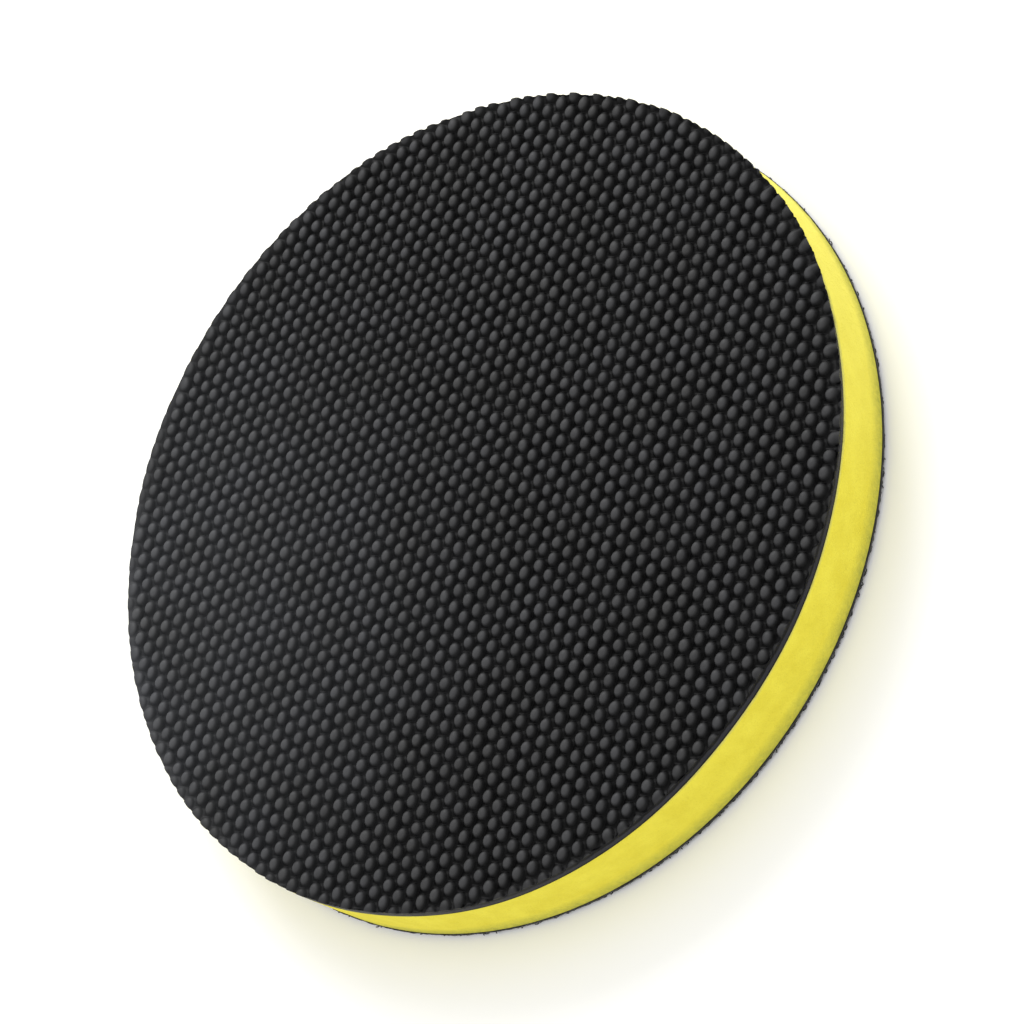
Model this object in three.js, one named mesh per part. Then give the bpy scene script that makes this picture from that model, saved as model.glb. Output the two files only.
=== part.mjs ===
// A round foam pad for a rotary or orbital car-care machine, 150 mm across.
// Its layers are cut out of one glued stack: a textured rubber sheet on the working side, a foam core,
// and a loop cloth that a hook-faced backing plate holds. Millimetres, +Z up, the loop tips on z = 0.

import * as THREE from "three";

// Driving dimensions.
const PAD_DIAMETER = 150;
const RIM_SIDES = 96;

// The glue films shrink back from the cut edge as they cool.
const GLUE_SETBACK = 0.5;

// Thickness of each layer, in the order in which they lie from the machine to the paint.
const PILE_HEIGHT = 0.8;
const GROUND_CLOTH = 0.4;
const GLUE_FILM = 0.1;
const FOAM = 12.6;
const FACE_SHEET = 2.3;

// Each layer has its own matt material.
function matt(colour, roughness) {
  return new THREE.MeshStandardMaterial({ color: colour, roughness, metalness: 0 });
}

// A flat disc between two heights, turned from its half section.
function disc(radius, bottom, top) {
  const section = [
    new THREE.Vector2(0, bottom),
    new THREE.Vector2(radius, bottom),
    new THREE.Vector2(radius, top),
    new THREE.Vector2(0, top),
  ];
  // The lathe turns its profile about Y, so the finished disc is tipped up to stand on Z.
  return new THREE.LatheGeometry(section, RIM_SIDES).rotateX(Math.PI / 2);
}

// The layers from the machine side to the working side.
const layers = [
  // Loops of nylon yarn that the plate's hooks catch.
  { name: "loop_pile", thickness: PILE_HEIGHT, material: matt(0x17171a, 0.95) },
  // The knitted cloth that the loops stand on.
  { name: "loop_ground_cloth", thickness: GROUND_CLOTH, material: matt(0x121214, 0.9) },
  // Melted film that holds the cloth to the foam.
  {
    name: "backing_glue_film",
    thickness: GLUE_FILM,
    setback: GLUE_SETBACK,
    material: matt(0xb9b48c, 0.5),
  },
  // Fine open-cell polyurethane foam, which evens out the pressure.
  { name: "foam_core", thickness: FOAM, material: matt(0xe8dc46, 0.9) },
  // Melted film that holds the rubber sheet to the foam.
  {
    name: "face_glue_film",
    thickness: GLUE_FILM,
    setback: GLUE_SETBACK,
    material: matt(0x2a2a2c, 0.5),
  },
  // The rubber sheet as far as the crests of its raised texture.
  { name: "face_sheet", thickness: FACE_SHEET, material: matt(0x2b2b2d, 0.6) },
];

// Lays the layers on each other, each on the exact plane where the last one ends.
function stack(parts) {
  const pad = new THREE.Group();
  let height = 0;
  for (const part of parts) {
    const top = height + part.thickness;
    const radius = PAD_DIAMETER / 2 - (part.setback ?? 0);
    const mesh = new THREE.Mesh(disc(radius, height, top), part.material);
    mesh.name = part.name;
    pad.add(mesh);
    height = top;
  }
  return pad;
}

export default stack(layers);
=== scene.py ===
# %% [markdown]
# # A foam pad for a car polishing machine
#
# The pad is a stack of round layers, 150 mm across: loops of yarn on a cloth, which hold on to the
# machine's hook-faced plate, a yellow foam core, and a black rubber sheet with a raised texture.
# All the layers are cut out in one stroke, so their edges are flush, and nothing but glue holds them.
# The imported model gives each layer's place and thickness, and every piece made here starts from those.

# %% Load the frame
import math
import random

import bpy
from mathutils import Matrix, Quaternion, Vector


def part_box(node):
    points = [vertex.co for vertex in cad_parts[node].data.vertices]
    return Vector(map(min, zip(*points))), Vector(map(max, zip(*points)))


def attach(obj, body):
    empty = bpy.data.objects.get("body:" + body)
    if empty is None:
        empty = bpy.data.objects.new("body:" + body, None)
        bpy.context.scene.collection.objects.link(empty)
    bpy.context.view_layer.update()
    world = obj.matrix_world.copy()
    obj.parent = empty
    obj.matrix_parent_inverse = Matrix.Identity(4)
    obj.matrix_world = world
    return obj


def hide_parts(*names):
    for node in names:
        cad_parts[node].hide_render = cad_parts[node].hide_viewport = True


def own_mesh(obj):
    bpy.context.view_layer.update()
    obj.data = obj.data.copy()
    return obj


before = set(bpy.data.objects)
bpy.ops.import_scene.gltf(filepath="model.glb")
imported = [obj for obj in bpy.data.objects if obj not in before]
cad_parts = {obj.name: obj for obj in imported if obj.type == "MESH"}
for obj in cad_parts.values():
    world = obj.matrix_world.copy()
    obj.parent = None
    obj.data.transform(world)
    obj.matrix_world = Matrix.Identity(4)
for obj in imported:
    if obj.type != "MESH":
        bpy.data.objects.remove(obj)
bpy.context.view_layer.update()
random.seed(7)

MM = 0.001
face_low, face_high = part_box("face_sheet")
foam_low, foam_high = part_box("foam_core")
cloth_low, cloth_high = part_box("loop_ground_cloth")
pile_low, pile_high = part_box("loop_pile")
RADIUS = face_high.x
print("pad radius", round(RADIUS / MM, 2), "mm, height", round(face_high.z / MM, 2), "mm")


# %% [markdown]
# ## The camera
#
# The pad lies on its loops. The camera looks down on it from the front, a little from the left, at
# about 49 degrees above the table, and it is rolled over by 60 degrees, so that the pad's near edge
# comes to lie at the lower right. The lens is long, as for a small product on a table.

# %% Camera
AIM = Vector((-2.95, -12.66, face_high.z / MM)) * MM
AZIMUTH = math.radians(-108.48)
ELEVATION = math.radians(49.315)
DISTANCE = 605.4 * MM
ROLL = math.radians(-60.21)
LENS = 123.9
SENSOR_WIDTH = 36
NEAR_CLIP = 0.01

away = Vector((
    math.cos(ELEVATION) * math.cos(AZIMUTH),
    math.cos(ELEVATION) * math.sin(AZIMUTH),
    math.sin(ELEVATION),
))
bpy.ops.object.camera_add(location=AIM + away * DISTANCE)
camera = bpy.context.object
camera.name = "camera"
camera.rotation_mode = "QUATERNION"
camera.rotation_quaternion = (-away).to_track_quat("-Z", "Y") @ Quaternion((0, 0, 1), ROLL)
camera.data.lens = LENS
camera.data.sensor_width = SENSOR_WIDTH
camera.data.clip_start = NEAR_CLIP
bpy.context.scene.camera = camera
print("camera at", [round(c, 4) for c in camera.location])


# %% [markdown]
# ## Small helpers
#
# An operator acts on all that is selected, so each step first picks one object and nothing else. In
# edit mode, vertices are picked by their place, with a test that says yes or no to each.

# %% Helpers
def pick(obj):
    """Makes obj the only selected object, and the active one."""
    if bpy.context.mode != "OBJECT":
        bpy.ops.object.mode_set(mode="OBJECT")
    bpy.ops.object.select_all(action="DESELECT")
    obj.select_set(True)
    bpy.context.view_layer.objects.active = obj
    return obj


def pick_vertices(obj, test):
    """Goes to edit mode with the vertices selected whose place passes the test."""
    pick(obj)
    bpy.ops.object.mode_set(mode="EDIT")
    bpy.ops.mesh.select_mode(type="VERT")
    bpy.ops.mesh.select_all(action="DESELECT")
    bpy.ops.object.mode_set(mode="OBJECT")
    for vertex in obj.data.vertices:
        vertex.select = test(vertex.co)
    bpy.ops.object.mode_set(mode="EDIT")


def apply_modifier(obj, kind, **settings):
    """Adds a modifier with these settings and applies it."""
    pick(obj)
    modifier = obj.modifiers.new(kind.lower(), kind)
    for name, value in settings.items():
        setattr(modifier, name, value)
    bpy.ops.object.modifier_apply(modifier=modifier.name)


def clouds(name, size, depth=1):
    """A soft random texture for the Displace modifier. size is how wide its patches are."""
    texture = bpy.data.textures.new(name, "CLOUDS")
    texture.noise_scale = size
    texture.noise_depth = depth
    return texture


def triangles(obj):
    return sum(len(face.vertices) - 2 for face in obj.data.polygons)


# %% [markdown]
# ## The face sheet: one bump
#
# The rubber sheet is moulded with about two thousand small oval pillows, set like bricks: 3 mm apart
# along a row, and each row half a step along from the last. In a row the pillows touch at a low
# saddle, and a deep groove parts the rows. So one brick-shaped tile is modelled by hand: an oval
# dome, grown ring by ring from a circle, is bridged to a rectangular frame that lies in the groove.

# %% One bump
PITCH = 2.992 * MM
ROW = PITCH * math.sqrt(3) / 2
BUMP_HEIGHT = 1.0 * MM
VALLEY = face_high.z - BUMP_HEIGHT
BUMP_SIDES = 12
HALF_LONG = 0.475 * PITCH
HALF_SHORT = 0.387 * PITCH
SADDLE = 0.15 * BUMP_HEIGHT
STEP_IN = 0.05 * MM
# How wide each ring of the dome is, and how high, as shares of the whole.
RINGS = [(0.97, 0.22), (0.83, 0.66), (0.52, 0.95)]
# A point counts as level with the bump's middle, or as lying at the tile's end, within these.
LEVEL = ROW / 9
TILE_END = 0.499 * PITCH

bpy.ops.mesh.primitive_plane_add(size=1, location=(0, 0, VALLEY))
face = bpy.context.object
face.name = "face_sheet_textured"
pick(face)
face.scale = (PITCH, ROW, 1)
bpy.ops.object.transform_apply(location=True, scale=True)
bpy.ops.object.mode_set(mode="EDIT")
bpy.ops.mesh.select_mode(type="EDGE")
bpy.ops.mesh.select_all(action="DESELECT")
bpy.ops.object.mode_set(mode="OBJECT")
for lies_along_x, cuts in ((True, BUMP_SIDES // 3 - 1), (False, BUMP_SIDES // 6 - 1)):
    for edge in face.data.edges:
        one, other = (face.data.vertices[i].co for i in edge.vertices)
        edge.select = (abs(one.y - other.y) < LEVEL) == lies_along_x
    bpy.ops.object.mode_set(mode="EDIT")
    bpy.ops.mesh.subdivide(number_cuts=cuts)
    bpy.ops.mesh.select_all(action="DESELECT")
    bpy.ops.object.mode_set(mode="OBJECT")
bpy.ops.object.mode_set(mode="EDIT")
bpy.ops.mesh.select_all(action="SELECT")
bpy.ops.mesh.dissolve_faces()
bpy.ops.mesh.select_all(action="SELECT")
bpy.ops.mesh.delete(type="ONLY_FACE")

width, rise = RINGS[0]
bpy.ops.mesh.primitive_circle_add(
    vertices=BUMP_SIDES, radius=1, fill_type="NGON", location=(0, 0, VALLEY + rise * BUMP_HEIGHT)
)
bpy.ops.transform.resize(value=(width * HALF_LONG, width * HALF_SHORT, 1))
bpy.ops.mesh.select_mode(type="FACE")
for next_width, next_rise in RINGS[1:]:
    bpy.ops.mesh.inset(thickness=STEP_IN, depth=(next_rise - rise) * BUMP_HEIGHT)
    narrower = [
        next_width * half / (width * half - STEP_IN) for half in (HALF_LONG, HALF_SHORT)
    ]
    bpy.ops.transform.resize(value=(*narrower, 1))
    width, rise = next_width, next_rise
bpy.ops.mesh.poke(offset=(1 - rise) * BUMP_HEIGHT)
bpy.ops.mesh.select_mode(type="EDGE")
bpy.ops.mesh.select_all(action="DESELECT")
bpy.ops.mesh.select_non_manifold()
bpy.ops.mesh.bridge_edge_loops()
pick_vertices(face, lambda co: abs(co.y) < LEVEL and abs(co.x) > TILE_END)
bpy.ops.transform.translate(value=(0, 0, SADDLE))
bpy.ops.mesh.select_all(action="SELECT")
bpy.ops.mesh.normals_make_consistent(inside=False)
bpy.ops.object.mode_set(mode="OBJECT")
print("one bump has", triangles(face), "triangles")


# %% [markdown]
# ## The face sheet: rows of bumps
#
# Two tiles, one half a step along and one row up, repeat both ways as a rectangle. Array modifiers
# make the field and join each tile to its neighbours. The punch that cuts the pads out takes no heed
# of the texture, so the grid is a little off the pad's centre, and bumps are cut through at the rim.
# Soft rubber is never as true as its mould, so slow random displacements then push the bumps about
# by a tenth of a millimetre or two, along each axis.

# %% Rows of bumps
GRID_OFFSET = Vector((0.22, -0.30, 0)) * MM
COLUMNS = 2 * math.ceil(RADIUS / PITCH) + 3
DOUBLE_ROWS = 2 * math.ceil(RADIUS / (2 * ROW)) + 2
SEAM = 0.02 * MM
# How wide the random patches are, and how far they push, along each axis.
WANDER = {"X": (5.0, 0.42), "Y": (4.0, 0.34), "Z": (2.4, 0.30)}

pick(face)
bpy.ops.object.duplicate_move(TRANSFORM_OT_translate={"value": (PITCH / 2, ROW, 0)})
bpy.ops.object.transform_apply(location=True)
face.select_set(True)
bpy.context.view_layer.objects.active = face
bpy.ops.object.join()
for count, step in ((COLUMNS, (PITCH, 0, 0)), (DOUBLE_ROWS, (0, 2 * ROW, 0))):
    apply_modifier(
        face, "ARRAY", count=count, use_relative_offset=False, use_constant_offset=True,
        constant_offset_displace=step, use_merge_vertices=True, merge_threshold=SEAM,
    )
pick(face)
start = GRID_OFFSET - Vector((COLUMNS // 2 * PITCH, DOUBLE_ROWS // 2 * 2 * ROW, 0))
bpy.ops.transform.translate(value=start)
bpy.ops.object.transform_apply(location=True)
bpy.ops.object.mode_set(mode="EDIT")
bpy.ops.mesh.select_all(action="SELECT")
bpy.ops.mesh.remove_doubles(threshold=SEAM)
bpy.ops.object.mode_set(mode="OBJECT")
for axis, (size, push) in WANDER.items():
    apply_modifier(
        face, "DISPLACE", texture=clouds("wander_" + axis, size * MM), texture_coords="LOCAL",
        direction=axis, mid_level=0.5, strength=push * MM,
    )
print("the field has", COLUMNS * DOUBLE_ROWS * 2, "bumps,", triangles(face), "triangles")


# %% [markdown]
# ## The face sheet: the punched disc
#
# The open field gets its thickness: its border is pulled down to the sheet's back and closed there.
# A round cutter with straight walls then takes the disc out, as the punch does, and cuts the bumps
# at the rim through wherever they stand.

# %% Punched disc
CUT_SIDES = 450
PUNCH_HEIGHT = 10 * MM

pick(face)
bpy.ops.object.mode_set(mode="EDIT")
bpy.ops.mesh.select_mode(type="EDGE")
bpy.ops.mesh.select_all(action="DESELECT")
bpy.ops.mesh.select_non_manifold()
bpy.ops.mesh.extrude_region_move()
bpy.ops.transform.resize(value=(1, 1, 0), center_override=(0, 0, face_low.z))
bpy.ops.mesh.edge_face_add()
bpy.ops.mesh.select_all(action="SELECT")
bpy.ops.mesh.normals_make_consistent(inside=False)
bpy.ops.object.mode_set(mode="OBJECT")

bpy.ops.mesh.primitive_cylinder_add(
    vertices=CUT_SIDES, radius=RADIUS, depth=PUNCH_HEIGHT, location=(0, 0, face_high.z)
)
punch = bpy.context.object
apply_modifier(face, "BOOLEAN", operation="INTERSECT", solver="MANIFOLD", object=punch)
bpy.data.objects.remove(punch)
print("the disc has", triangles(face), "triangles")


# %% [markdown]
# ## The face sheet: its soft rim
#
# Rubber gives under a punch, so the rim is not as true as the cutter. Where the punch squeezes a bump,
# the bump's cut end swells out, which leaves a scalloped edge, and it drags the grooves up there. The
# sheet's back edge spreads, and runs a little out of round. The punch leaned a little too: on one side
# the last bumps are stretched out over the cut wall, and on the far side the grooves are pressed up to
# the crests, where the edge is smooth. Each point near the rim is moved out and up to follow this.

# %% Soft rim
RIM_PROUD = 0.26 * MM
RIM_SWELL = 0.36 * MM
EVEN_SWELL = 0.5
SQUEEZE_REACH = 0.6 * PITCH
SWELL_TOP = 1.4
SWELL_SHARPNESS = 3
RIM_LIFT = 0.42
LIFT_SHARE = 0.9
RIM_DRIFT = 0.13 * MM
# How many waves run round the rim, and where each starts.
RIM_WAVES = [(3, 0.6), (8, 2.4), (13, 0)]
# Which way the cut runs out, how sharply, and how far at the sheet's back and at its face.
RUN_OUT = [(-50, 5, -0.06, 0.72), (-152, 14, 0.42, 0.42)]
FAR_SIDE = math.radians(92)
FAR_SHARPNESS = 0.7
# How far in from the rim the points move, and how near to it a point counts as cut by the punch.
STRETCH = 2.2 * MM
EDGE = 0.03 * MM
FACE_SMOOTH = math.radians(62)


def to_nearest_bump(place):
    """How far a place in plan is from the nearest bump's middle."""
    row = round((place.y - GRID_OFFSET.y) / ROW)
    found = []
    for near_row in (row - 1, row, row + 1):
        first = GRID_OFFSET.x + near_row % 2 * PITCH / 2
        x = first + round((place.x - first) / PITCH) * PITCH
        found.append(math.hypot(place.x - x, place.y - GRID_OFFSET.y - near_row * ROW))
    return min(found)


def drift(place):
    """A slow run out of round, from -1 to 1."""
    angle = math.atan2(place.y, place.x)
    return sum(math.sin(count * angle + start) for count, start in RIM_WAVES) / len(RIM_WAVES)


def toward(place, way, sharpness):
    """1 on the side of the pad that lies this way, falling to 0 a quarter turn from it."""
    angle = math.atan2(place.y, place.x) - way
    return max(0, math.cos(angle)) ** sharpness


swollen = 0
for vertex in face.data.vertices:
    reach = vertex.co.xy.length
    nearness = 1 - (RADIUS - reach) / STRETCH
    if nearness <= 0:
        continue
    at_back = vertex.co.z < face_low.z + EDGE
    rise = (vertex.co.z - VALLEY) / BUMP_HEIGHT
    smooth = toward(vertex.co, FAR_SIDE, FAR_SHARPNESS)
    lift = smooth * nearness
    outward = 0
    for way, sharpness, back_run, face_run in RUN_OUT:
        run = (back_run if at_back else face_run) * MM * nearness ** 2
        outward += run * toward(vertex.co, math.radians(way), sharpness)
    if reach > RADIUS - EDGE:
        outward += RIM_PROUD + RIM_DRIFT * drift(vertex.co)
        if not at_back:
            squeezed = max(0, 1 - (to_nearest_bump(vertex.co) / SQUEEZE_REACH) ** 2)
            swell = RIM_SWELL * (squeezed * (1 - smooth) + EVEN_SWELL * smooth)
            swell *= 1 + toward(vertex.co, math.radians(RUN_OUT[0][0]), SWELL_SHARPNESS)
            outward += (swell - RIM_PROUD) * min(1, SWELL_TOP - rise)
            lift = max(lift, RIM_LIFT)
        swollen += 1
    if not at_back:
        vertex.co.z += LIFT_SHARE * lift * max(0, 1 - rise) * BUMP_HEIGHT
    vertex.co.xy *= 1 + outward / reach
print(swollen, "rim points swell out")

pick(face)
bpy.ops.object.shade_smooth_by_angle(angle=FACE_SMOOTH)


# %% [markdown]
# ## The foam core
#
# The core is cut from a block of fine open-cell foam. Its cut side is never quite flat: the blade
# drags it a little, the cells leave it rough, the glue line under the rubber pinches its edge in,
# and it stands a little proud of the rubber. A cylinder gets many rows of faces round its side, the
# rows beside that glue line are drawn in by hand, and three displacements, from broad to fine,
# roughen the side and leave the glued faces flat.

# %% Foam core
FOAM_SIDES = 1080
FOAM_ROWS = 32
FOAM_RADIUS = RADIUS + 0.34 * MM
# How many rows below the upper glue line, and how far each is drawn in.
PINCH = [(0, 0.22), (1, 0.05)]
# What roughens the cut side, how wide its patches are, and how deep.
CUT_MARKS = [("drag", 9, 0.30), ("lumps", 1.6, 0.16), ("cells", 0.55, 0.16)]
FOAM_SMOOTH = math.radians(60)

foam_thickness = foam_high.z - foam_low.z
bpy.ops.mesh.primitive_cylinder_add(
    vertices=FOAM_SIDES, radius=FOAM_RADIUS, depth=foam_thickness,
    location=(0, 0, (foam_low.z + foam_high.z) / 2),
)
foam = bpy.context.object
foam.name = "foam_core_cut"
pick(foam)
bpy.ops.object.transform_apply(location=True)
bpy.ops.object.mode_set(mode="EDIT")
bpy.ops.mesh.select_mode(type="EDGE")
bpy.ops.mesh.select_all(action="DESELECT")
bpy.ops.object.mode_set(mode="OBJECT")
for edge in foam.data.edges:
    one, other = (foam.data.vertices[i].co for i in edge.vertices)
    edge.select = abs(one.z - other.z) > foam_thickness / 2
bpy.ops.object.mode_set(mode="EDIT")
bpy.ops.mesh.subdivide(number_cuts=FOAM_ROWS - 1)

row_height = foam_thickness / FOAM_ROWS
for rows_in, inward in PINCH:
    level = foam_high.z - rows_in * row_height
    pick_vertices(foam, lambda co: abs(co.z - level) < row_height / 4)
    narrower = 1 - inward * MM / FOAM_RADIUS
    bpy.ops.transform.resize(value=(narrower, narrower, 1))

pick(foam)
side = foam.vertex_groups.new(name="side")
side.add(
    [v.index for v in foam.data.vertices
     if foam_low.z + row_height / 2 < v.co.z < foam_high.z - row_height / 2],
    1, "REPLACE",
)
for name, size, depth in CUT_MARKS:
    apply_modifier(
        foam, "DISPLACE", texture=clouds("foam_" + name, size * MM), texture_coords="LOCAL",
        mid_level=0.5, strength=depth * MM, vertex_group="side",
    )
bpy.ops.object.shade_smooth_by_angle(angle=FOAM_SMOOTH)
print("the foam has", triangles(foam), "triangles")


# %% [markdown]
# ## The ground cloth
#
# A knitted cloth carries the loops. It is thin, stands a little past the foam, and its cut edge
# frays. A round sheet is inset a few times, so that its face has rings of points to move,
# given its thickness by extruding, and its rim is then frayed by a fine sideways displacement.

# %% Ground cloth
CLOTH_SIDES = 480
CLOTH_RINGS = [0.35, 1.2, 4, 16]
CLOTH_RADIUS = RADIUS + 0.50 * MM
FRAY_REACH = 0.2 * MM
FRAY_SIZE = 0.9 * MM
FRAY_DEPTH = 0.35 * MM
CLOTH_SMOOTH = math.radians(50)

bpy.ops.mesh.primitive_circle_add(
    vertices=CLOTH_SIDES, radius=CLOTH_RADIUS, fill_type="NGON", location=(0, 0, cloth_low.z)
)
cloth = bpy.context.object
cloth.name = "loop_cloth_knit"
pick(cloth)
bpy.ops.object.transform_apply(location=True)
bpy.ops.object.mode_set(mode="EDIT")
bpy.ops.mesh.select_mode(type="FACE")
bpy.ops.mesh.select_all(action="SELECT")
for inward in CLOTH_RINGS:
    bpy.ops.mesh.inset(thickness=inward * MM)
bpy.ops.mesh.select_all(action="SELECT")
bpy.ops.mesh.extrude_region_move(
    TRANSFORM_OT_translate={"value": (0, 0, cloth_high.z - cloth_low.z)}
)
bpy.ops.mesh.select_all(action="SELECT")
bpy.ops.mesh.normals_make_consistent(inside=False)
bpy.ops.object.mode_set(mode="OBJECT")

rim = cloth.vertex_groups.new(name="rim")
rim.add(
    [v.index for v in cloth.data.vertices if v.co.xy.length > CLOTH_RADIUS - FRAY_REACH],
    1, "REPLACE",
)
for direction in ("X", "Y"):
    apply_modifier(
        cloth, "DISPLACE", texture=clouds("fray_" + direction, FRAY_SIZE), texture_coords="LOCAL",
        direction=direction, mid_level=0.5, strength=FRAY_DEPTH, vertex_group="rim",
    )
bpy.ops.object.shade_smooth_by_angle(angle=CLOTH_SMOOTH)
print("the cloth has", triangles(cloth), "triangles")


# %% [markdown]
# ## The loop pile: one loop
#
# The hooks of the machine's plate catch in small arches of nylon yarn. One arch is half of a ring,
# stretched to the pile's height. It is very small and there are thousands, so it has few faces.

# %% One loop
LOOP_WIDTH = 1.05 * MM
YARN = 0.24 * MM
ROOT_DEPTH = 0.03 * MM
RING_STEPS = 12
YARN_SIDES = 3

bpy.ops.mesh.primitive_torus_add(
    major_radius=LOOP_WIDTH / 2, minor_radius=YARN / 2, major_segments=RING_STEPS,
    minor_segments=YARN_SIDES, rotation=(math.radians(90), 0, 0),
)
loop = bpy.context.object
pick(loop)
bpy.ops.object.transform_apply(rotation=True)
bpy.ops.object.mode_set(mode="EDIT")
bpy.ops.mesh.select_all(action="SELECT")
bpy.ops.mesh.bisect(plane_co=(0, 0, 0), plane_no=(0, 0, 1), use_fill=True, clear_outer=True)
bpy.ops.mesh.select_all(action="SELECT")
stretch = (pile_high.z - pile_low.z) / (LOOP_WIDTH / 2 + YARN / 2)
bpy.ops.transform.resize(value=(1, 1, stretch), center_override=(0, 0, 0))
bpy.ops.mesh.normals_make_consistent(inside=False)
bpy.ops.object.mode_set(mode="OBJECT")
print("one loop has", triangles(loop), "triangles and is",
      [round(d / MM, 2) for d in loop.dimensions], "mm")


# %% [markdown]
# ## The loop pile: all the loops
#
# The knitting machine lays the loops in rows, and brushing then turns and leans each one its own
# way. Every loop is a copy of the one above, turned about its own foot, leaned, and set on the cloth.
# Two close rings of loops right at the rim stand out past it a little, which gives the pad's back
# edge its dense, toothed line. Every other row goes into a second piece, to keep each mesh light, and
# the rings' loops are shared out between the two.

# %% All the loops
ROW_STEP = 1.5 * MM
LOOP_STEP = 1.25 * MM
SCATTER = 0.22 * MM
TURN = math.radians(32)
LEAN = math.radians(20)
SHORTEST = 0.78
RIM_STEP = 0.85 * MM
RIM_RINGS = [0.12 * MM, -0.45 * MM]
RIM_SCATTER = 0.16 * MM
YARN_SMOOTH = math.radians(80)


def one_standing_loop(points, foot, way=0.0):
    """The loop's points, turned off its way, leaned and set down with its foot on the cloth."""
    turn = Quaternion((0, 0, 1), way + random.gauss(0, TURN))
    lean = Quaternion((1, 0, 0), random.uniform(-LEAN, LEAN))
    height = random.uniform(SHORTEST, 1)
    return [foot + turn @ (lean @ Vector((p.x, p.y, p.z * height))) for p in points]


def pile_piece(name, first_row):
    """Every second row of loops as one mesh, copied from the one loop."""
    points = [v.co.copy() for v in loop.data.vertices]
    faces = [tuple(f.vertices) for f in loop.data.polygons]
    all_points, all_faces = [], []
    rows = math.ceil(RADIUS / ROW_STEP)
    for row in range(first_row - rows, rows + 1, 2):
        y = row * ROW_STEP
        half_steps = math.ceil(RADIUS / LOOP_STEP)
        for step in range(-half_steps, half_steps + 1):
            x = (step + 0.5 * (row % 2)) * LOOP_STEP
            foot = Vector((
                x + random.uniform(-SCATTER, SCATTER),
                y + random.uniform(-SCATTER, SCATTER),
                pile_high.z + ROOT_DEPTH,
            ))
            if foot.xy.length > RADIUS - RIM_STEP:
                continue
            start = len(all_points)
            all_points += one_standing_loop(points, foot)
            all_faces += [tuple(start + i for i in f) for f in faces]
    rim_loops = round(2 * math.pi * RADIUS / RIM_STEP)
    for place in range(first_row, 2 * rim_loops, 2):
        angle = 2 * math.pi * place / rim_loops
        ring = RADIUS + RIM_RINGS[place // rim_loops]
        reach = ring + random.uniform(-RIM_SCATTER, RIM_SCATTER)
        foot = Vector((
            reach * math.cos(angle), reach * math.sin(angle), pile_high.z + ROOT_DEPTH
        ))
        start = len(all_points)
        all_points += one_standing_loop(points, foot, angle + math.pi / 2)
        all_faces += [tuple(start + i for i in f) for f in faces]
    mesh = bpy.data.meshes.new(name)
    mesh.from_pydata(all_points, [], all_faces)
    piece = bpy.data.objects.new(name, mesh)
    bpy.context.scene.collection.objects.link(piece)
    pick(piece)
    bpy.ops.object.shade_smooth_by_angle(angle=YARN_SMOOTH)
    print(name, "has", len(all_points) // len(points), "loops,", triangles(piece), "triangles")
    return piece


pile_even = pile_piece("loop_pile_even_rows", 0)
pile_odd = pile_piece("loop_pile_odd_rows", 1)
bpy.data.objects.remove(loop)


# %% [markdown]
# ## Materials: shared effects
#
# A finish is never one flat colour. Two effects serve every material here, each as a group of nodes:
# patches that drift slowly in tone over the piece, and a fine grain that gives a mask and a bumpy
# normal. Both read Object coordinates, in metres, so the patterns have true sizes.

# %% Node helpers and groups
def add_node(tree, kind, settings=None, **inputs):
    """Adds a node, sets its properties and fills its inputs with values or links.

    An input goes by its name, or by its number, as _0 or _1, where two have the same name.
    """
    made = tree.nodes.new("ShaderNode" + kind)
    for name, value in (settings or {}).items():
        setattr(made, name, value)
    for name, value in inputs.items():
        key = int(name[1:]) if name[1:].isdigit() else name.replace("_", " ")
        socket = made.inputs[key]
        if isinstance(value, bpy.types.NodeSocket):
            tree.links.new(value, socket)
        else:
            socket.default_value = value
    return made


def new_group(name, inputs, outputs):
    """A shader node group with float inputs (name: default) and outputs (name: socket kind)."""
    tree = bpy.data.node_groups.new(name, "ShaderNodeTree")
    for label, default in inputs.items():
        socket = tree.interface.new_socket(label, in_out="INPUT", socket_type="NodeSocketFloat")
        socket.default_value = default
    for label, kind in outputs.items():
        tree.interface.new_socket(label, in_out="OUTPUT", socket_type="NodeSocket" + kind)
    return tree, tree.nodes.new("NodeGroupInput"), tree.nodes.new("NodeGroupOutput")


def make_patches():
    """Slow drift of tone: Mask is 0 to 1, in soft patches of about Size metres."""
    tree, given, out = new_group("soft_patches", {"Size": 0.02}, {"Mask": "Float"})
    place = add_node(tree, "TexCoord")
    scale = add_node(tree, "Math", {"operation": "DIVIDE"}, _0=1.0, _1=given.outputs["Size"])
    noise = add_node(
        tree, "TexNoise", Vector=place.outputs["Object"], Scale=scale.outputs[0], Detail=2.0
    )
    mask = add_node(
        tree, "MapRange", Value=noise.outputs["Fac"], From_Min=0.3, From_Max=0.7
    )
    tree.links.new(mask.outputs["Result"], out.inputs["Mask"])
    return tree


def make_grain():
    """Fine grain: Mask is 0 to 1 and Normal is bumpy, with grains of Size metres, Depth metres high."""
    tree, given, out = new_group(
        "fine_grain", {"Size": 0.0003, "Depth": 0.00002}, {"Mask": "Float", "Normal": "Vector"}
    )
    place = add_node(tree, "TexCoord")
    scale = add_node(tree, "Math", {"operation": "DIVIDE"}, _0=1.0, _1=given.outputs["Size"])
    noise = add_node(
        tree, "TexNoise", Vector=place.outputs["Object"], Scale=scale.outputs[0],
        Detail=3.0, Roughness=0.6,
    )
    bump = add_node(
        tree, "Bump", Strength=1.0, Distance=given.outputs["Depth"], Height=noise.outputs["Fac"]
    )
    mask = add_node(tree, "MapRange", Value=noise.outputs["Fac"], From_Min=0.3, From_Max=0.7)
    tree.links.new(mask.outputs["Result"], out.inputs["Mask"])
    tree.links.new(bump.outputs["Normal"], out.inputs["Normal"])
    return tree


PATCHES = make_patches()
GRAIN = make_grain()


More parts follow.
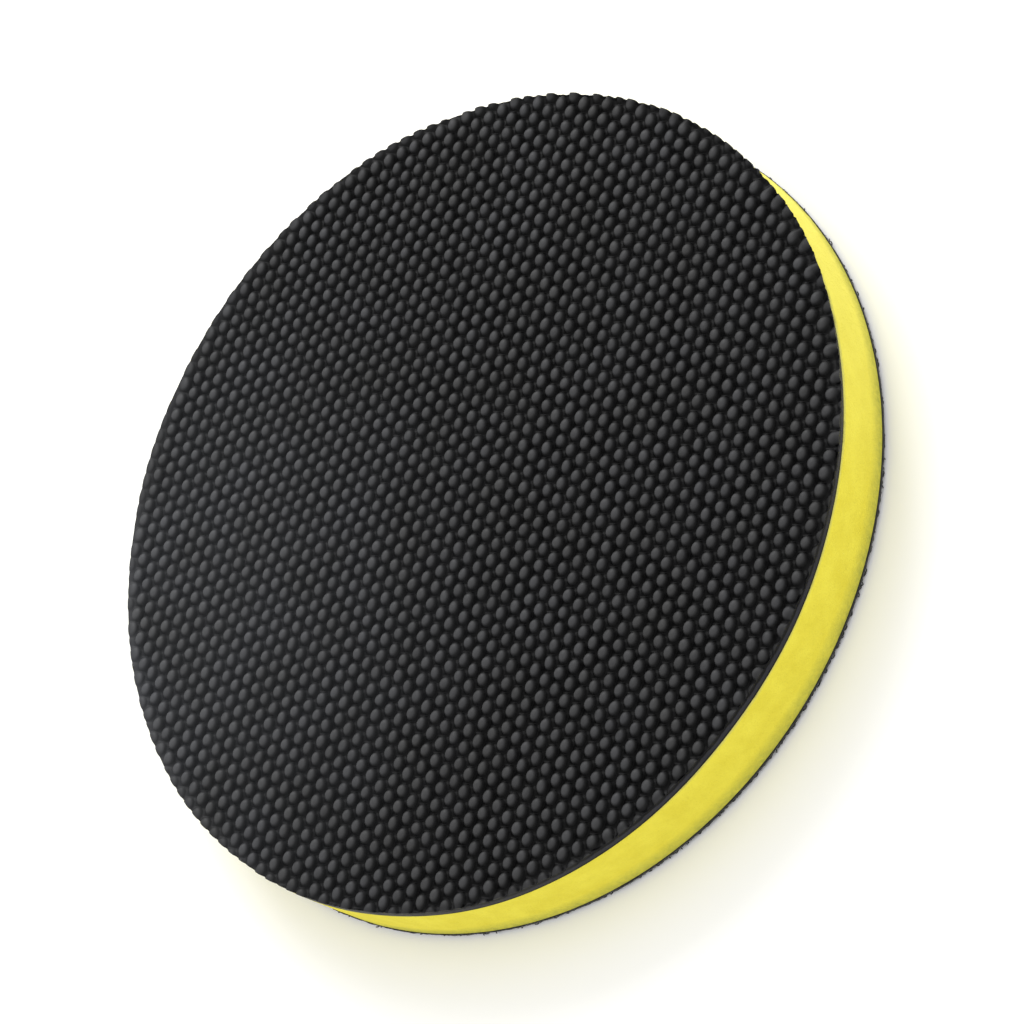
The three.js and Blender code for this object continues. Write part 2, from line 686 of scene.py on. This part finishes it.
def use_group(tree, group, **inputs):
    """Places a group in a material, with its own values."""
    made = tree.nodes.new("ShaderNodeGroup")
    made.node_tree = group
    for name, value in inputs.items():
        made.inputs[name].default_value = value
    return made


def new_material(name, **constants):
    """A material with a Principled shader. What is the same all over is set on the shader itself."""
    material = bpy.data.materials.new(name)
    material.use_nodes = True
    shader = material.node_tree.nodes["Principled BSDF"]
    for label, value in constants.items():
        shader.inputs[label.replace("_", " ")].default_value = value
    return material, material.node_tree, shader


def colour_ramp(tree, factor, stops):
    """A colour ramp through (place, colour) stops."""
    ramp = add_node(tree, "ValToRGB", Fac=factor)
    elements = ramp.color_ramp.elements
    while len(elements) < len(stops):
        elements.new(0.5)
    for element, (place, colour) in zip(elements, stops):
        element.position = place
        element.color = (*colour, 1)
    return ramp.outputs["Color"]


def mix_colours(tree, factor, one, other, blend="MIX"):
    """Mixes two colours by factor, and gives the result's socket."""
    mix = tree.nodes.new("ShaderNodeMix")
    mix.data_type = "RGBA"
    mix.blend_type = blend
    for socket, value in ((mix.inputs[0], factor), (mix.inputs[6], one), (mix.inputs[7], other)):
        if isinstance(value, bpy.types.NodeSocket):
            tree.links.new(value, socket)
        elif isinstance(value, tuple):
            socket.default_value = (*value, 1)
        else:
            socket.default_value = value
    return mix.outputs[2]


def dress(piece, material):
    piece.data.materials.clear()
    piece.data.materials.append(material)


print("groups:", PATCHES.name, GRAIN.name)


# %% [markdown]
# ## Materials: black rubber
#
# The moulded rubber is black with a satin skin. Its grooves are painted near black as painted shade,
# and its crests a lighter grey as painted light, so the height above the groove drives the colour.
# Towards the rim this painted light and shade fades to the flanks' grey, and the cut wall under the
# bumps is a smooth, cool dark grey between two black lines of painted shade. A lighter grey over the
# far side is a painted sheen, and broad patches, some cool and some warm, keep the big face from
# looking printed.

# %% Black rubber
# The grooves' near black is painted shade and the crests' grey is painted light, with the flanks
# between.
GROOVE_SHADE_BLACK = (0.0014, 0.0014, 0.0015)
FLANK_BLACK = (0.0115, 0.0115, 0.0118)
CREST_LIT_GREY = (0.0458, 0.0462, 0.0475)
RIM_GREY = (0.0245, 0.0245, 0.0300)
# Painted shade: black lines along the wall's foot at the glue line and along its top by the grooves.
WALL_SHADE_BLACK = (0.0012, 0.0012, 0.0016)
# A painted sheen: the face's far side is lightened with this grey, fading out over the reach below.
FAR_SHEEN_GREY = (0.036, 0.0378, 0.0412)
FAR_SHEEN_MIDDLE = Vector((-40, 72, 0)) * MM
FAR_SHEEN_REACH = 105 * MM
FAR_SHEEN_SHARE = 0.6
# How far in from the rim the wall's colour starts and is full, and between which heights on a bump.
WALL_START = 0.14 * MM
WALL_FULL = 0.06 * MM
WALL_HEIGHTS = (0.75, 0.35)
DULL_REACH = 1.1 * MM
DULL_SHARE = 0.65

rubber, tree, shader = new_material("black_rubber", Specular_IOR_Level=0.085)
place = add_node(tree, "TexCoord")
split = add_node(tree, "SeparateXYZ", Vector=place.outputs["Object"])
rise = add_node(
    tree, "MapRange", Value=split.outputs["Z"], From_Min=VALLEY, From_Max=face_high.z
)
# Painted shade in the grooves and painted light on the crests, by height.
height_light_and_shade = colour_ramp(
    tree, rise.outputs["Result"],
    [(0.0, GROOVE_SHADE_BLACK), (0.2, GROOVE_SHADE_BLACK), (0.66, FLANK_BLACK), (1.0, CREST_LIT_GREY)],
)
flat = add_node(tree, "CombineXYZ", X=split.outputs["X"], Y=split.outputs["Y"])
reach = add_node(tree, "VectorMath", {"operation": "LENGTH"}, _0=flat.outputs["Vector"])
at_rim = add_node(
    tree, "MapRange", Value=reach.outputs["Value"],
    From_Min=RADIUS - WALL_START, From_Max=RADIUS - WALL_FULL,
)
under_crests = add_node(
    tree, "MapRange", Value=split.outputs["Z"],
    From_Min=VALLEY + WALL_HEIGHTS[0] * BUMP_HEIGHT,
    From_Max=VALLEY + WALL_HEIGHTS[1] * BUMP_HEIGHT,
)
on_wall = add_node(
    tree, "Math", {"operation": "MULTIPLY"}, _0=at_rim.outputs["Result"],
    _1=under_crests.outputs["Result"],
)
near_rim = add_node(
    tree, "MapRange", Value=reach.outputs["Value"],
    From_Min=RADIUS - DULL_REACH, From_Max=RADIUS, To_Max=DULL_SHARE,
)
down_rim = add_node(
    tree, "MapRange", Value=split.outputs["Z"], From_Min=face_low.z, From_Max=VALLEY
)
# The cut wall's own grey, with painted shade as black lines at its foot and at its top.
wall_grey_and_shade = colour_ramp(
    tree, down_rim.outputs["Result"],
    [(0.0, WALL_SHADE_BLACK), (0.18, WALL_SHADE_BLACK), (0.34, RIM_GREY), (0.86, RIM_GREY), (1.0, WALL_SHADE_BLACK)],
)
dulled = mix_colours(tree, near_rim.outputs["Result"], height_light_and_shade, FLANK_BLACK)
with_rim = mix_colours(tree, on_wall.outputs[0], dulled, wall_grey_and_shade)
# Painted sheen, added over the far side of the face.
to_far_sheen = add_node(
    tree, "VectorMath", {"operation": "DISTANCE"}, _0=flat.outputs["Vector"],
    _1=tuple(FAR_SHEEN_MIDDLE),
)
far_sheen = add_node(
    tree, "MapRange", {"interpolation_type": "SMOOTHSTEP"}, Value=to_far_sheen.outputs["Value"],
    From_Min=FAR_SHEEN_REACH, From_Max=0.0, To_Max=FAR_SHEEN_SHARE,
)
with_far_sheen = mix_colours(tree, far_sheen.outputs["Result"], with_rim, FAR_SHEEN_GREY, "ADD")
patches = use_group(tree, PATCHES, Size=14 * MM)
tone = colour_ramp(
    tree, patches.outputs["Mask"], [(0.0, (0.86, 0.85, 0.83)), (1.0, (1.0, 1.0, 1.03))]
)
tree.links.new(mix_colours(tree, 1.0, with_far_sheen, tone, "MULTIPLY"), shader.inputs["Base Color"])
grain = use_group(tree, GRAIN, Size=0.18 * MM, Depth=0.006 * MM)
satin = add_node(tree, "MapRange", Value=grain.outputs["Mask"], To_Min=0.40, To_Max=0.56)
tree.links.new(satin.outputs["Result"], shader.inputs["Roughness"])
tree.links.new(grain.outputs["Normal"], shader.inputs["Normal"])
dress(face, rubber)


# %% [markdown]
# ## Materials: yellow foam
#
# Open-cell foam is a mesh of thin struts, so the light goes in a little and comes out softly, and
# each cell is a tiny shadow. The colour drifts in patches, the cells are darker pits, and the side
# towards the lamp is painted paler, as painted light. Towards the cloth it is painted olive and
# blotchy, mostly as painted shade from the cloth's edge and loops, with some stray black fibres, and
# a strip of painted shade darkens its upper edge under the rubber.

# %% Yellow foam
FOAM_YELLOW = (0.775, 0.683, 0.065)
FOAM_DEEP = (0.71, 0.613, 0.050)
# Painted light: the foam's +X side, towards the lamp, turns to this paler yellow.
FOAM_LIT_PALE = (0.90, 0.835, 0.185)
CELL_SHADE = (0.58, 0.50, 0.04)
CELL_SIZE = 0.42 * MM
CELL_DEPTH = 0.10 * MM
LIT_SIDE_START = 0.1 * RADIUS
LIT_SIDE_SHARE = 0.75
# Blotchy olive near the cloth: mostly painted shade from the cloth's edge and loops, with some stray
# black fibres.
FOAM_SHADED_OLIVE = (0.42, 0.41, 0.06)
CLOTH_SHADE_HEIGHT = 3.6 * MM
CLOTH_SHADE_PALEST = 0.62
CLOTH_SHADE_DARKEST = 1.2
# Painted shade: a greyer strip along the foam's upper edge, under the rubber's rim.
SHADE_UNDER_RUBBER = (0.50, 0.49, 0.17)
SHADE_UNDER_RUBBER_DEPTH = 0.55 * MM
SHADE_UNDER_RUBBER_SHARE = 0.8

yellow, tree, shader = new_material("yellow_foam", Specular_IOR_Level=0.2, Roughness=0.95)
place = add_node(tree, "TexCoord")
patches = use_group(tree, PATCHES, Size=4 * MM)
body = mix_colours(tree, patches.outputs["Mask"], FOAM_YELLOW, FOAM_DEEP)
cells = add_node(
    tree, "TexVoronoi", {"feature": "F1"}, Vector=place.outputs["Object"], Scale=1 / CELL_SIZE
)
pit = add_node(
    tree, "MapRange", Value=cells.outputs["Distance"], From_Min=0.35, From_Max=0.0, To_Max=0.35
)
pitted = mix_colours(tree, pit.outputs["Result"], body, CELL_SHADE)
split = add_node(tree, "SeparateXYZ", Vector=place.outputs["Object"])
# Painted light, paler towards +X.
lit_side = add_node(
    tree, "MapRange", Value=split.outputs["X"],
    From_Min=LIT_SIDE_START, From_Max=RADIUS, To_Max=LIT_SIDE_SHARE,
)
pitted = mix_colours(tree, lit_side.outputs["Result"], pitted, FOAM_LIT_PALE)
near_cloth = add_node(
    tree, "MapRange", Value=split.outputs["Z"],
    From_Min=foam_low.z + CLOTH_SHADE_HEIGHT, From_Max=foam_low.z,
)
blotches = use_group(tree, PATCHES, Size=0.9 * MM)
blotchy = add_node(
    tree, "MapRange", Value=blotches.outputs["Mask"], To_Min=CLOTH_SHADE_PALEST, To_Max=CLOTH_SHADE_DARKEST
)
# Painted shade near the cloth, in blotches, with some stray black fibres.
cloth_shade = add_node(
    tree, "Math", {"operation": "MULTIPLY"}, _0=near_cloth.outputs["Result"],
    _1=blotchy.outputs["Result"],
)
cloth_shaded = mix_colours(tree, cloth_shade.outputs[0], pitted, FOAM_SHADED_OLIVE)
# Painted shade along the foam's top, under the rubber.
near_face = add_node(
    tree, "MapRange", Value=split.outputs["Z"],
    From_Min=foam_high.z - SHADE_UNDER_RUBBER_DEPTH, From_Max=foam_high.z, To_Max=SHADE_UNDER_RUBBER_SHARE,
)
shaded_under_rubber = mix_colours(tree, near_face.outputs["Result"], cloth_shaded, SHADE_UNDER_RUBBER)
tree.links.new(shaded_under_rubber, shader.inputs["Base Color"])
pores = add_node(
    tree, "Bump", Strength=1.0, Distance=CELL_DEPTH, Height=cells.outputs["Distance"]
)
tree.links.new(pores.outputs["Normal"], shader.inputs["Normal"])
dress(foam, yellow)


# %% [markdown]
# ## Materials: cloth, yarn and glue
#
# The knit is matt black with fine ribs. The loops are black nylon, whose bundles of smooth fibres
# have a soft sheen, and some rows took the dye a little less. The two glue films are hidden but for
# their edges: a milky melted film at the cloth, and a dark one under the rubber.

# %% Cloth, yarn and glue
KNIT_RIB = 0.8 * MM

knit, tree, shader = new_material(
    "black_knit", Roughness=0.9, Sheen_Weight=0.15, Sheen_Roughness=0.5
)
place = add_node(tree, "TexCoord")
ribs = add_node(
    tree, "TexWave", {"wave_type": "BANDS", "bands_direction": "Y"},
    Vector=place.outputs["Object"], Scale=math.pi / (10 * KNIT_RIB), Distortion=1.5,
    Detail=2.0, Detail_Scale=3.0,
)
tree.links.new(
    mix_colours(tree, ribs.outputs["Fac"], (0.004, 0.004, 0.005), (0.018, 0.018, 0.021)),
    shader.inputs["Base Color"],
)
rib_bump = add_node(tree, "Bump", Strength=1.0, Distance=0.08 * MM, Height=ribs.outputs["Fac"])
tree.links.new(rib_bump.outputs["Normal"], shader.inputs["Normal"])
dress(cloth, knit)

yarn, tree, shader = new_material("black_yarn", Sheen_Weight=0.25, Sheen_Roughness=0.4)
grain = use_group(tree, GRAIN, Size=0.12 * MM, Depth=0.015 * MM)
patches = use_group(tree, PATCHES, Size=6 * MM)
faded = mix_colours(tree, patches.outputs["Mask"], (0.006, 0.006, 0.007), (0.016, 0.015, 0.017))
tree.links.new(
    mix_colours(tree, grain.outputs["Mask"], faded, (0.010, 0.010, 0.011)),
    shader.inputs["Base Color"],
)
worn = add_node(tree, "MapRange", Value=grain.outputs["Mask"], To_Min=0.5, To_Max=0.75)
tree.links.new(worn.outputs["Result"], shader.inputs["Roughness"])
tree.links.new(grain.outputs["Normal"], shader.inputs["Normal"])
dress(pile_even, yarn)
dress(pile_odd, yarn)


def glue_material(name, thin, thick):
    """A melted film, uneven where it ran together."""
    film, tree, shader = new_material(name)
    pools = use_group(tree, PATCHES, Size=3 * MM)
    grain = use_group(tree, GRAIN, Size=0.4 * MM, Depth=0.01 * MM)
    tree.links.new(
        mix_colours(tree, pools.outputs["Mask"], thin, thick), shader.inputs["Base Color"]
    )
    gloss = add_node(tree, "MapRange", Value=pools.outputs["Mask"], To_Min=0.35, To_Max=0.6)
    tree.links.new(gloss.outputs["Result"], shader.inputs["Roughness"])
    tree.links.new(grain.outputs["Normal"], shader.inputs["Normal"])
    return film


milky_film = glue_material("milky_glue", (0.50, 0.47, 0.30), (0.34, 0.32, 0.20))
dark_film = glue_material("dark_glue", (0.020, 0.020, 0.022), (0.035, 0.034, 0.030))
dress(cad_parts["backing_glue_film"], milky_film)
dress(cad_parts["face_glue_film"], dark_film)
print("materials:", sorted(m.name for m in bpy.data.materials))


# %% [markdown]
# ## The table and the light
#
# The pad lies on a plain white table under a pale, even sky, as in a light tent. One broad lamp
# stands beyond the pad, to the side that the camera sees as up. It skims over the bumps, so each has
# a light crest and a dark near side, and it leaves the yellow edge to the sky and the table.

# %% Table and light
TABLE_SIZE = 6.0
SKY_STRENGTH = 1.1
LAMP_AZIMUTH = math.radians(38)
LAMP_ELEVATION = math.radians(36)
LAMP_DISTANCE = 0.9
LAMP_SIZE = 0.5
LAMP_POWER = 5.5
TABLE_WHITE = (0.93, 0.93, 0.93, 1)

bpy.ops.mesh.primitive_plane_add(size=TABLE_SIZE, location=(0, 0, pile_low.z))
table = bpy.context.object
table.name = "table"
white, tree, shader = new_material("table_white", Roughness=0.9, Specular_IOR_Level=0.1)
shader.inputs["Base Color"].default_value = TABLE_WHITE
dress(table, white)

sky = bpy.data.worlds.new("pale_sky")
sky.use_nodes = True
sky.node_tree.nodes["Background"].inputs["Color"].default_value = (1, 1, 1, 1)
sky.node_tree.nodes["Background"].inputs["Strength"].default_value = SKY_STRENGTH
bpy.context.scene.world = sky

toward_lamp = Vector((
    math.cos(LAMP_ELEVATION) * math.cos(LAMP_AZIMUTH),
    math.cos(LAMP_ELEVATION) * math.sin(LAMP_AZIMUTH),
    math.sin(LAMP_ELEVATION),
))
bpy.ops.object.light_add(type="AREA", location=toward_lamp * LAMP_DISTANCE)
lamp = bpy.context.object
lamp.name = "broad_lamp"
lamp.data.size = LAMP_SIZE
lamp.data.energy = LAMP_POWER
lamp.rotation_mode = "QUATERNION"
lamp.rotation_quaternion = (-toward_lamp).to_track_quat("-Z", "Y")
bpy.context.scene.view_settings.view_transform = "Standard"
print("lamp at", [round(c, 3) for c in lamp.location])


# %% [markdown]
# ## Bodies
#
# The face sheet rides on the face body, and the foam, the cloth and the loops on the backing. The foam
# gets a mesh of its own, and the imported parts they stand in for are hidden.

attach(face, "face")
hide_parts("face_sheet")

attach(foam, "backing")
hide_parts("foam_core")
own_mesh(foam)

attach(cloth, "backing")
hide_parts("loop_ground_cloth")

for pile in (pile_even, pile_odd):
    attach(pile, "backing")
    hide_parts("loop_pile")
